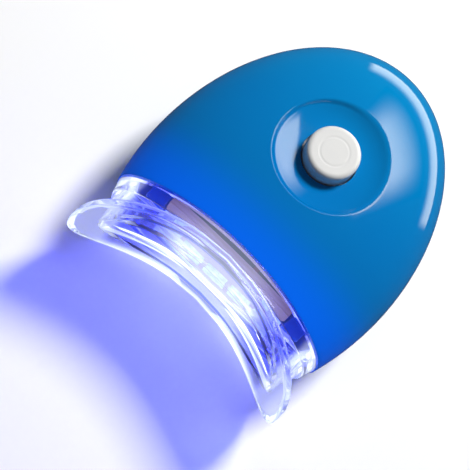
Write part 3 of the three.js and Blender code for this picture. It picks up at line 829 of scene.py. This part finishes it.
# %% Helpers for materials
def linear(hex_colour, alpha=1.0):
    channels = [int(hex_colour[i:i + 2], 16) / 255 for i in (1, 3, 5)]
    curve = [c / 12.92 if c <= 0.04045 else ((c + 0.055) / 1.055) ** 2.4 for c in channels]
    return (*curve, alpha)


def new_material(name):
    material = bpy.data.materials.new(name)
    material.use_nodes = True
    material.node_tree.nodes.clear()
    return material, material.node_tree


def add_node(tree, kind, links=None, **settings):
    node = tree.nodes.new(kind)
    for key, value in settings.items():
        setattr(node, key, value)
    for socket, value in (links or {}).items():
        if isinstance(value, bpy.types.NodeSocket):
            tree.links.new(value, node.inputs[socket])
        else:
            node.inputs[socket].default_value = value
    return node


def wear(piece, material):
    piece.data.materials.clear()
    piece.data.materials.append(material)


# %% [markdown]
# The housing is ABS with a mirror-polished mould: a strong cyan-blue with a clear gloss. Close to
# the mouth a royal blue and a faint glow are painted in, for the lamps' light shining through the
# thin wall, and towards the rear a lighter cyan is painted in, where the key light falls. A faint
# waviness of the mould keeps the reflections from looking drawn.

# %% Gloss blue ABS
def gloss_blue_abs():
    material, tree = new_material("abs_gloss_blue")
    place = add_node(tree, "ShaderNodeTexCoord")
    split = add_node(tree, "ShaderNodeSeparateXYZ", {"Vector": place.outputs["Object"]})
    # painted lamp light: towards the mouth the blue turns royal blue and gets a faint glow
    painted_lamp_light_near_mouth = add_node(tree, "ShaderNodeMapRange", {
        "Value": split.outputs["Y"], "From Min": mouth_y - 3 * MM, "From Max": mouth_y + 13 * MM,
        "To Min": 1.0, "To Max": 0.0,
    }, interpolation_type="SMOOTHERSTEP")
    # painted light: a lighter cyan towards the rear, where the key light falls
    painted_key_light_to_rear = add_node(tree, "ShaderNodeMapRange", {
        "Value": split.outputs["Y"], "From Min": mouth_y, "From Max": middle_y + half_length,
    })
    blotch = add_node(tree, "ShaderNodeTexNoise", {
        "Vector": place.outputs["Object"], "Scale": 1 / (14 * MM), "Detail": 2.0,
    })
    drift = add_node(tree, "ShaderNodeMath", {
        0: blotch.outputs["Fac"], 1: 0.35, 2: -0.17,
    }, operation="MULTIPLY_ADD")
    share = add_node(tree, "ShaderNodeMath", {
        0: painted_key_light_to_rear.outputs["Result"], 1: drift.outputs["Value"],
    }, operation="ADD", use_clamp=True)
    body = add_node(tree, "ShaderNodeMix", {
        0: share.outputs["Value"], 6: linear("#0068B2"), 7: linear("#007CB4"),
    }, data_type="RGBA")
    lit = add_node(tree, "ShaderNodeMix", {
        0: painted_lamp_light_near_mouth.outputs["Result"], 6: body.outputs[2], 7: linear("#0062E2"),
    }, data_type="RGBA")
    # painted glow near the mouth, for the lamps' light through the wall
    glow = add_node(tree, "ShaderNodeMath", {
        0: painted_lamp_light_near_mouth.outputs["Result"], 1: 0.16,
    }, operation="MULTIPLY")
    wave = add_node(tree, "ShaderNodeTexNoise", {
        "Vector": place.outputs["Object"], "Scale": 1 / (7 * MM), "Detail": 1.0,
    })
    bump = add_node(tree, "ShaderNodeBump", {
        "Height": wave.outputs["Fac"], "Strength": 0.15, "Distance": 0.1 * MM,
    })
    shader = add_node(tree, "ShaderNodeBsdfPrincipled", {
        "Base Color": lit.outputs[2], "Roughness": 0.07, "IOR": 1.53,
        "Specular IOR Level": 0.35, "Emission Color": linear("#0052F4"),
        "Emission Strength": glow.outputs["Value"], "Normal": bump.outputs["Normal"],
    })
    add_node(tree, "ShaderNodeOutputMaterial", {"Surface": shader.outputs["BSDF"]})
    return material


blue_abs = gloss_blue_abs()
for piece in (top, bottom, cover):
    wear(piece, blue_abs)
print("made", blue_abs.name)

# %% [markdown]
# The shield is cast acrylic, polished all over. Light that enters clear acrylic is trapped in it
# and comes out where the surface turns, which is why the foot, the rim and the walls close to the
# lamps look white. Tracing that light takes too long, so those places glow: each is found by its
# place on the piece, as a step that fades from 0 to 1, and pairs of steps are multiplied and added.

# %% Where the acrylic glows
# a faint painted glow over the whole piece, for the lamps' light spread through it
acrylic_glow = 0.035


def light_in_acrylic(tree, place):
    split = add_node(tree, "ShaderNodeSeparateXYZ", {"Vector": place.outputs["Object"]})
    height = add_node(tree, "ShaderNodeMath", {
        0: split.outputs["Z"], 1: seam_z,
    }, operation="SUBTRACT").outputs["Value"]
    aside = add_node(tree, "ShaderNodeMath", {
        0: split.outputs["X"],
    }, operation="ABSOLUTE").outputs["Value"]
    powers = []
    for value, half, power in (
        (split.outputs["X"], shield_half_width, shield_roundness),
        (height, shield_half_height, shield_end_roundness),
    ):
        share = add_node(tree, "ShaderNodeMath", {0: value, 1: half}, operation="DIVIDE")
        size = add_node(tree, "ShaderNodeMath", {0: share.outputs["Value"]}, operation="ABSOLUTE")
        powers.append(add_node(tree, "ShaderNodeMath", {
            0: size.outputs["Value"], 1: power,
        }, operation="POWER").outputs["Value"])
    outline_sum = add_node(tree, "ShaderNodeMath", {
        0: powers[0], 1: powers[1],
    }, operation="ADD").outputs["Value"]
    steps = {"everywhere": 1.0}
    for name, value, dark, full in (
        ("rim", outline_sum, 0.86, 0.98),
        ("inside outline", outline_sum, 0.8, 0.45),
        ("plate", split.outputs["Y"], mouth_y - 2.9 * MM, mouth_y - 3.4 * MM),
        ("before collar", split.outputs["Y"], mouth_y - 2.8 * MM, mouth_y - 3 * MM),
        ("foot", height, -8.9 * MM, -11.3 * MM),
        ("near lamps", aside, 15 * MM, 3 * MM),
        ("beside arms", aside, 17.2 * MM, 18.4 * MM),
    ):
        steps[name] = add_node(tree, "ShaderNodeMapRange", {
            "Value": value, "From Min": dark, "From Max": full,
        }, interpolation_type="SMOOTHSTEP").outputs["Result"]
    glow = acrylic_glow
    for one, other, amount in (
        ("rim", "plate", 0.06), ("foot", "plate", 0.5), ("near lamps", "inside outline", 0.18),
        ("near lamps", "before collar", 0.1), ("beside arms", "everywhere", 0.15),
    ):
        both = add_node(tree, "ShaderNodeMath", {
            0: steps[one], 1: steps[other],
        }, operation="MULTIPLY").outputs["Value"]
        steps[one + " of the " + other] = both
        glow = add_node(tree, "ShaderNodeMath", {
            0: both, 1: amount, 2: glow,
        }, operation="MULTIPLY_ADD").outputs["Value"]
    return glow, steps["rim of the plate"]


# %% [markdown]
# The shader is polished glass with the index of acrylic. The plate's rim has a darker tone painted
# into its colour, for the darker view where the eye looks along the sheet and not through it.
# Shadow rays pass straight through with a blue-violet tint, so the piece's shadow and the lamps'
# light make one blue pool on the floor.

# %% Clear acrylic
def clear_acrylic():
    material, tree = new_material("acrylic_clear_polished")
    place = add_node(tree, "ShaderNodeTexCoord")
    glow, plate_rim = light_in_acrylic(tree, place)
    whiteness = add_node(tree, "ShaderNodeMapRange", {
        "Value": glow, "From Min": 0.04, "From Max": 0.2,
    })
    tone = add_node(tree, "ShaderNodeMix", {
        0: whiteness.outputs["Result"], 6: linear("#6464FF"), 7: linear("#EAF4FF"),
    }, data_type="RGBA")
    # painted shade: a darker tone on the plate's rim
    painted_rim_shade = add_node(tree, "ShaderNodeMix", {
        0: plate_rim, 6: linear("#DDE1FF"), 7: linear("#A6AEF8"),
    }, data_type="RGBA")
    ripple = add_node(tree, "ShaderNodeTexNoise", {
        "Vector": place.outputs["Object"], "Scale": 1 / (6 * MM), "Detail": 1.0,
    })
    bump = add_node(tree, "ShaderNodeBump", {
        "Height": ripple.outputs["Fac"], "Strength": 0.15, "Distance": 0.12 * MM,
    })
    shader = add_node(tree, "ShaderNodeBsdfPrincipled", {
        "Base Color": painted_rim_shade.outputs[2], "Roughness": 0.02, "IOR": 1.49,
        "Transmission Weight": 1.0, "Emission Color": tone.outputs[2],
        "Emission Strength": glow, "Normal": bump.outputs["Normal"],
    })
    passing = add_node(tree, "ShaderNodeBsdfTransparent", {"Color": linear("#7F8CFA")})
    path = add_node(tree, "ShaderNodeLightPath")
    surface = add_node(tree, "ShaderNodeMixShader", {
        0: path.outputs["Is Shadow Ray"], 1: shader.outputs["BSDF"], 2: passing.outputs["BSDF"],
    })
    add_node(tree, "ShaderNodeOutputMaterial", {"Surface": surface.outputs["Shader"]})
    return material


wear(clear, clear_acrylic())
print("made", clear.data.materials[0].name)

# %% [markdown]
# The button is white ABS from a spark-eroded mould, so it is satin: a fine even grain, a tenth of a
# millimetre across, breaks the gloss. The grain is drawn twice as coarse so that it can show.

# %% Satin white ABS
def satin_white_abs():
    material, tree = new_material("abs_satin_white")
    place = add_node(tree, "ShaderNodeTexCoord")
    grain = add_node(tree, "ShaderNodeTexNoise", {
        "Vector": place.outputs["Object"], "Scale": 1 / (0.2 * MM), "Detail": 3.0,
    })
    bump = add_node(tree, "ShaderNodeBump", {
        "Height": grain.outputs["Fac"], "Strength": 0.2, "Distance": 0.02 * MM,
    })
    cloud = add_node(tree, "ShaderNodeTexNoise", {
        "Vector": place.outputs["Object"], "Scale": 1 / (4 * MM), "Detail": 2.0,
    })
    tone = add_node(tree, "ShaderNodeMix", {
        0: cloud.outputs["Fac"], 6: linear("#DCDCDB"), 7: linear("#D3D3D3"),
    }, data_type="RGBA")
    shader = add_node(tree, "ShaderNodeBsdfPrincipled", {
        "Base Color": tone.outputs[2], "Roughness": 0.38, "IOR": 1.53,
        "Normal": bump.outputs["Normal"],
    })
    add_node(tree, "ShaderNodeOutputMaterial", {"Surface": shader.outputs["BSDF"]})
    return material


wear(button, satin_white_abs())
print("made", button.data.materials[0].name)

# %% [markdown]
# The lamps are small square packages whose round windows shine. They are so bright that a camera
# sees them as white, with the blue only in what they light, so their colour is a strong pale blue.

# %% Lamp windows
def shining_lamp():
    material, tree = new_material("silicone_lamp_window")
    place = add_node(tree, "ShaderNodeTexCoord")
    speck = add_node(tree, "ShaderNodeTexVoronoi", {
        "Vector": place.outputs["Object"], "Scale": 1 / (1.2 * MM),
    })
    tone = add_node(tree, "ShaderNodeMix", {
        0: speck.outputs["Distance"], 6: linear("#C4DCFF"), 7: linear("#7C96FF"),
    }, data_type="RGBA")
    shader = add_node(tree, "ShaderNodeBsdfPrincipled", {
        "Base Color": tone.outputs[2], "Roughness": 0.3, "IOR": 1.41,
        "Emission Color": tone.outputs[2], "Emission Strength": 1.2,
    })
    add_node(tree, "ShaderNodeOutputMaterial", {"Surface": shader.outputs["BSDF"]})
    return material


lamp_window = shining_lamp()
for i in range(1, 6):
    wear(bpy.data.objects["lamp_" + str(i)], lamp_window)
print("made", lamp_window.name)

# %% [markdown]
# Both boards are glass-fibre laminate. The lamp board's sawn edge shows its grey-brown layers, and
# a faint warm glow is painted on it, for the light that reaches it through the clear collar. The
# main board is covered with green solder resist, with a faint weave of the glass under it.

# %% Board laminates
def sawn_laminate():
    material, tree = new_material("glass_laminate_sawn")
    place = add_node(tree, "ShaderNodeTexCoord")
    layers = add_node(tree, "ShaderNodeTexWave", {
        "Vector": place.outputs["Object"], "Scale": 1 / (3.2 * MM), "Distortion": 1.2,
        "Detail": 2.0,
    }, bands_direction="Y")
    tone = add_node(tree, "ShaderNodeMix", {
        0: layers.outputs["Fac"], 6: linear("#9C8E98"), 7: linear("#BDB0BC"),
    }, data_type="RGBA")
    # painted light: a faint warm glow for the light reaching the board through the collar
    shader = add_node(tree, "ShaderNodeBsdfPrincipled", {
        "Base Color": tone.outputs[2], "Roughness": 0.7, "IOR": 1.5,
        "Emission Color": linear("#C8A48A"), "Emission Strength": 0.3,
    })
    add_node(tree, "ShaderNodeOutputMaterial", {"Surface": shader.outputs["BSDF"]})
    return material


def green_resist():
    material, tree = new_material("glass_laminate_green_resist")
    place = add_node(tree, "ShaderNodeTexCoord")
    weave = add_node(tree, "ShaderNodeTexChecker", {
        "Vector": place.outputs["Object"], "Scale": 1 / (0.5 * MM),
        "Color1": linear("#1B6B45"), "Color2": linear("#1E7049"),
    })
    shader = add_node(tree, "ShaderNodeBsdfPrincipled", {
        "Base Color": weave.outputs["Color"], "Roughness": 0.3, "IOR": 1.5,
    })
    add_node(tree, "ShaderNodeOutputMaterial", {"Surface": shader.outputs["BSDF"]})
    return material


wear(bpy.data.objects["lamp_board"], sawn_laminate())
wear(bpy.data.objects["main_board"], green_resist())

# %% [markdown]
# The small parts inside are moulded black resin, brushed steel, sprung brass and soft PVC. Each
# kind shares one short recipe: two close tones mixed by a noise of the real grain's size, with a
# bump from the same noise.

# %% Metals, resin and insulation
def grained(name, dark, light, grain_mm, roughness, metallic=0.0, stretch=(1, 1, 1), depth=0.02):
    material, tree = new_material(name)
    place = add_node(tree, "ShaderNodeTexCoord")
    drawn = add_node(tree, "ShaderNodeMapping", {
        "Vector": place.outputs["Object"], "Scale": stretch,
    })
    grain = add_node(tree, "ShaderNodeTexNoise", {
        "Vector": drawn.outputs["Vector"], "Scale": 1 / (grain_mm * MM), "Detail": 4.0,
    })
    tone = add_node(tree, "ShaderNodeMix", {
        0: grain.outputs["Fac"], 6: linear(dark), 7: linear(light),
    }, data_type="RGBA")
    bump = add_node(tree, "ShaderNodeBump", {
        "Height": grain.outputs["Fac"], "Strength": 0.3, "Distance": depth * MM,
    })
    shader = add_node(tree, "ShaderNodeBsdfPrincipled", {
        "Base Color": tone.outputs[2], "Roughness": roughness, "Metallic": metallic,
        "Normal": bump.outputs["Normal"],
    })
    add_node(tree, "ShaderNodeOutputMaterial", {"Surface": shader.outputs["BSDF"]})
    return material


black_resin = grained("epoxy_resin_black", "#1E1F22", "#2B2C30", 0.2, 0.55)
black_nylon = grained("nylon_switch_black", "#202124", "#2C2D31", 0.4, 0.45)
cell_steel = grained("stainless_steel_brushed", "#BFC1C5", "#D6D8DB", 0.3, 0.28, 1.0, (1, 12, 1))
screw_steel = grained("zinc_plated_steel", "#B4B7BC", "#CDD0D4", 0.5, 0.32, 1.0)
spring_brass = grained("brass_spring_sheet", "#B08D45", "#CBA75C", 0.4, 0.3, 1.0, (12, 1, 1))
red_pvc = grained("pvc_insulation_red", "#B01D20", "#C0262A", 0.6, 0.4)
black_pvc = grained("pvc_insulation_black", "#151517", "#202024", 0.6, 0.4)
finishes = {
    "timer_chip": black_resin, "resistor_1": black_resin, "resistor_2": black_resin,
    "switch_body": black_nylon, "switch_plunger": black_nylon,
    "coin_cell_lower": cell_steel, "coin_cell_upper": cell_steel,
    "cell_leaf_contact": spring_brass, "cell_side_contact": spring_brass,
    "shell_screw_1": screw_steel, "shell_screw_2": screw_steel, "shell_screw_3": screw_steel,
    "board_screw_1": screw_steel, "board_screw_2": screw_steel,
    "wire_red": red_pvc, "wire_black": black_pvc,
}
for node, material in finishes.items():
    wear(bpy.data.objects[node], material)
print(len(finishes), "inner nodes finished")

# %% [markdown]
# The stage is a plain white floor in a studio. A soft key light stands behind the lamp on the
# right, so the shaded side is the mouth's side, and there the lamps' own blue-violet light colours
# the floor. Gloss shows the shape only when it has something to reflect, so two curved white
# cards stand on the same side: a low one gives the thin line round the rim, and a high one with
# soft edges gives the wide sheen beside the dish and the crescent in it. The lights stay out of
# reflections and the cards light nothing, as a photographer flags a lamp off with black card. A
# weak light overhead lifts the shadows.

# %% Floor
floor_size = 4
deselect_all()
bpy.ops.mesh.primitive_plane_add(size=floor_size, location=(0, 0, 0))
floor = bpy.context.object
settle(floor, "floor")
paper, paper_tree = new_material("paper_floor_white")
paper_shader = add_node(paper_tree, "ShaderNodeBsdfPrincipled", {
    "Base Color": linear("#FAFAFB"), "Roughness": 0.9, "Specular IOR Level": 0.2,
})
add_node(paper_tree, "ShaderNodeOutputMaterial", {"Surface": paper_shader.outputs["BSDF"]})
wear(floor, paper)
floor.visible_glossy = False
print("floor", floor_size, "m wide in", paper.name)

# %% Key light and the lamps' light on the floor
middle = Vector((0, 0, 12 * MM))


def compass(azimuth, elevation):
    a, e = math.radians(azimuth), math.radians(elevation)
    return Vector((math.sin(a) * math.cos(e), -math.cos(a) * math.cos(e), math.sin(e)))


def soft_light(name, place, aim_at, size, power, colour="#FFFFFF", size_y=None):
    bpy.ops.object.light_add(type="AREA", location=place)
    light = bpy.context.object
    light.name = name
    light.data.shape = "RECTANGLE"
    light.data.size = size
    light.data.size_y = size_y or size
    light.data.energy = power
    light.data.color = linear(colour)[:3]
    light.rotation_euler = (Vector(aim_at) - Vector(place)).to_track_quat("-Z", "Y").to_euler()
    light.visible_camera = False
    light.visible_glossy = False
    print(name, power, "W")
    return light


key_distance = 0.6
key_place = middle + compass(170, 51) * key_distance
soft_light("key_softbox", key_place, middle, size=0.15, power=4.5)
spill_place = Vector((0, mouth_y - 4.6 * MM, seam_z))
spill_aim = spill_place + Vector((0, -20 * MM, -8 * MM))
soft_light(
    "lamp_spill", spill_place, spill_aim, size=32 * MM, power=0.012, colour="#0C1CFF",
    size_y=6 * MM,
)
soft_light("overhead_fill", (0, 0, 0.9), (0, 0, 0), size=0.7, power=0.4)

# %% White cards for the gloss
def white_card(name, centre, radius, azimuths, low_z, high_z, brightness, fades):
    deselect_all()
    bpy.ops.mesh.primitive_grid_add(x_subdivisions=24, y_subdivisions=4, size=1)
    card = bpy.context.object
    middle_azimuth = sum(azimuths) / 2
    span = azimuths[1] - azimuths[0]
    for vertex in card.data.vertices:
        around = compass(middle_azimuth + span * vertex.co.x, 0)
        z = low_z + (high_z - low_z) * (vertex.co.y + 0.5)
        vertex.co = (centre.x + around.x * radius, centre.y + around.y * radius, z)
    settle(card, name)
    material, tree = new_material(name + "_white")
    place = add_node(tree, "ShaderNodeTexCoord")
    split = add_node(tree, "ShaderNodeSeparateXYZ", {"Vector": place.outputs["UV"]})
    to_end = add_node(tree, "ShaderNodeMath", {
        0: split.outputs["X"], 1: 0.5,
    }, operation="PINGPONG")
    end_fade, low_fade, high_fade = fades
    power = brightness
    for value, dark, full in (
        (to_end.outputs["Value"], 0.0, end_fade),
        (split.outputs["Y"], 0.0, low_fade),
        (split.outputs["Y"], 1.0, 1.0 - high_fade),
    ):
        ramp = add_node(tree, "ShaderNodeMapRange", {
            "Value": value, "From Min": dark, "From Max": full,
        }, interpolation_type="SMOOTHSTEP")
        power = add_node(tree, "ShaderNodeMath", {
            0: ramp.outputs["Result"], 1: power,
        }, operation="MULTIPLY").outputs["Value"]
    glow = add_node(tree, "ShaderNodeEmission", {
        "Color": linear("#FFFBE8"), "Strength": power,
    })
    add_node(tree, "ShaderNodeOutputMaterial", {"Surface": glow.outputs["Emission"]})
    wear(card, material)
    card.visible_camera = False
    card.visible_diffuse = False
    card.visible_transmission = False
    card.visible_shadow = False
    print(name, "spans", azimuths, "degrees")


rear_point = Vector((2 * MM, middle_y + 14 * MM, 0))
white_card(
    "low_card", rear_point, radius=85 * MM, azimuths=(124, 200), low_z=5 * MM, high_z=31 * MM,
    brightness=6.0, fades=(0.05, 0.04, 0.5),
)
white_card(
    "high_card", rear_point, radius=260 * MM, azimuths=(139, 187), low_z=78 * MM, high_z=385 * MM,
    brightness=10.0, fades=(0.3, 0.5, 0.03),
)

# %% World
sky_strength = 0.08
world = bpy.context.scene.world or bpy.data.worlds.new("studio_world")
bpy.context.scene.world = world
world.use_nodes = True
world.node_tree.nodes.clear()
sky = add_node(world.node_tree, "ShaderNodeBackground", {
    "Color": (1, 1, 1, 1), "Strength": sky_strength,
})
add_node(world.node_tree, "ShaderNodeOutputWorld", {"Surface": sky.outputs["Background"]})
bpy.context.scene.view_settings.view_transform = "Standard"
print("sky strength", sky_strength)
